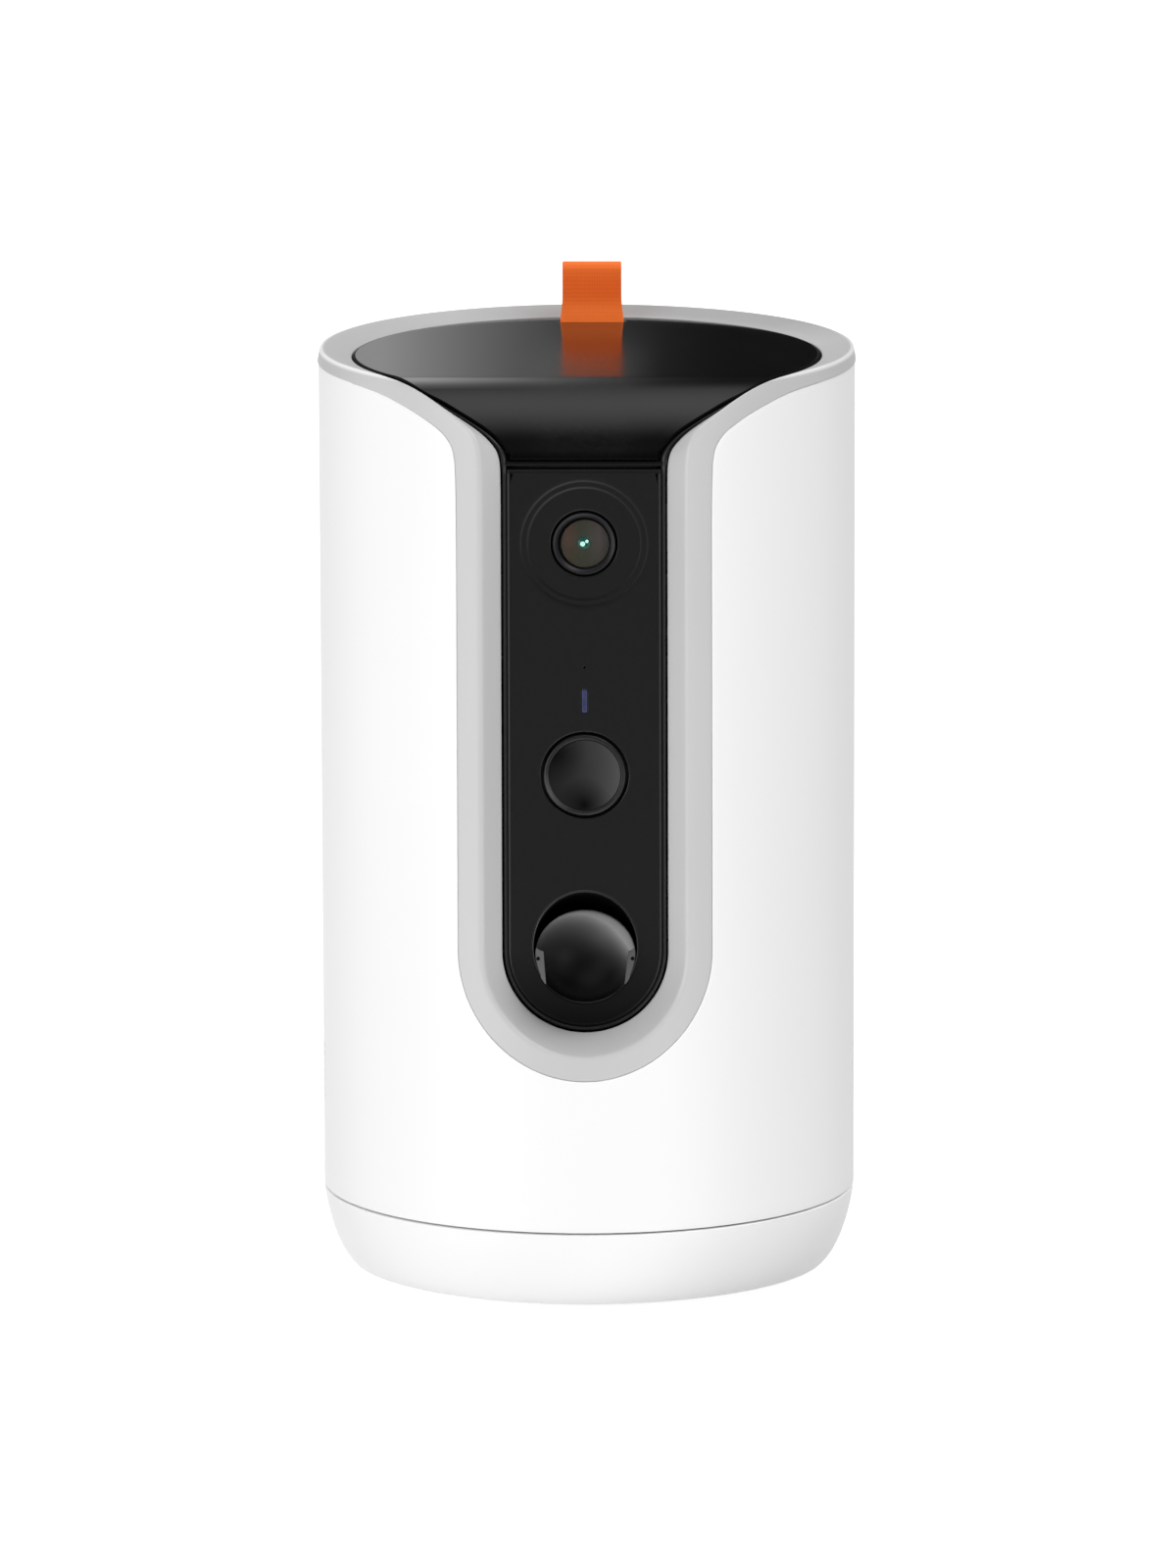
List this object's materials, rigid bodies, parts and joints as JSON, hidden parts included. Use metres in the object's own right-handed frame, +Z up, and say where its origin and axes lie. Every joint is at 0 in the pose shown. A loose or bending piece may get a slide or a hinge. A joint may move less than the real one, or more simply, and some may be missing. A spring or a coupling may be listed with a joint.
{
  "type": "pet camera",
  "caption": "Round tower pet camera with a recessed black front, lens, call button, domed treat outlet, lift-off lid with strap, treat bin and launcher.",
  "frame": {"origin": "on the ground plane, at the middle of the object's box as seen from above, which is the tower's own axis within half a millimetre", "axes": "+Z up along the tower, the camera and the treat outlet look along -Y, +X is to the right of a person who faces the front"},
  "size_m": [0.1298, 0.1294, 0.238],
  "materials": {
    "white_plastic": "satin moulded, fine grain",
    "grey_plastic": "satin moulded light grey",
    "black_plastic": "satin black",
    "black_gloss": "piano black",
    "strap": "smooth coated, orange",
    "lens_glass": "coated lens",
    "light_pipe": "blue diffuser",
    "dark_plastic": "dark grey moulded",
    "smoke_plastic": "smoke grey food-safe plastic",
    "circuit_board": "solder mask",
    "chip": "epoxy black",
    "steel": "plated",
    "aluminium": "natural",
    "rubber": "matt black",
    "silicone": "soft grey"
  },
  "bodies": {
    "housing": {"base_cover": "dark_plastic", "base_cup": "white_plastic", "base_screw_1": "steel", "base_screw_2": "steel", "base_screw_3": "steel", "base_screw_4": "steel", "board_screw_1": "steel", "board_screw_2": "steel", "board_screw_3": "steel", "button_board": "circuit_board", "button_switch": "chip", "camera_board": "circuit_board", "camera_holder": "dark_plastic", "drop_guard": "smoke_plastic", "foot_ring": "rubber", "front_panel": "black_plastic", "heat_sink": "aluminium", "image_sensor": "chip", "infrared_led_left": "smoke_plastic", "infrared_led_right": "smoke_plastic", "inner_carrier": "dark_plastic", "launch_housing": "dark_plastic", "led_light_pipe": "light_pipe", "lens_barrel": "black_plastic", "lens_glass": "lens_glass", "main_board": "circuit_board", "microphone": "steel", "outer_shell": "white_plastic", "outlet_tube": "dark_plastic", "panel_frame": "black_plastic", "power_board": "circuit_board", "power_inlet": "steel", "processor": "chip", "reset_switch": "chip", "rim_collar": "grey_plastic", "speaker": "chip", "speaker_bracket": "dark_plastic", "throw_motor": "steel", "treat_bin": "smoke_plastic", "wheel_motor": "steel", "wifi_module": "aluminium"},
    "lid": {"lid": "black_gloss", "lid_liner": "dark_plastic", "lid_seal": "silicone", "pull_strap": "strap"},
    "outlet_flap": {"outlet_flap": "black_plastic"},
    "call_button": {"call_button": "black_plastic"},
    "reset_button": {"reset_button": "dark_plastic"},
    "dispensing_wheel": {"dispensing_wheel": "dark_plastic"},
    "throw_paddle": {"throw_paddle": "aluminium"}
  },
  "joints": [
    {"name": "lid_lift", "type": "slide", "parent": "housing", "child": "lid", "axis": [0, 0, 1], "range_m": [0, 0.045]},
    {"name": "flap_swing", "type": "hinge", "parent": "housing", "child": "outlet_flap", "pos_m": [0, -0.0523, 0.0873], "axis": [-1, 0, 0], "range_deg": [0, 80], "stiffness_Nm_per_rad": 0.0004, "springref_deg": -17.19},
    {"name": "call_button_press", "type": "slide", "parent": "housing", "child": "call_button", "axis": [0, 1, 0], "range_m": [0, 0.0012], "stiffness_N_per_m": 500, "springref_m": -0.0004},
    {"name": "reset_button_press", "type": "slide", "parent": "housing", "child": "reset_button", "axis": [0, -1, 0], "range_m": [0, 0.0008], "stiffness_N_per_m": 500, "springref_m": -0.0003},
    {"name": "wheel_spin", "type": "hinge", "parent": "housing", "child": "dispensing_wheel", "pos_m": [0, 0.016, 0.137], "axis": [0, 0, 1], "continuous": true},
    {"name": "paddle_swing", "type": "hinge", "parent": "housing", "child": "throw_paddle", "pos_m": [0, 0.015, 0.091], "axis": [-1, 0, 0], "range_deg": [0, 50]}
  ]
}
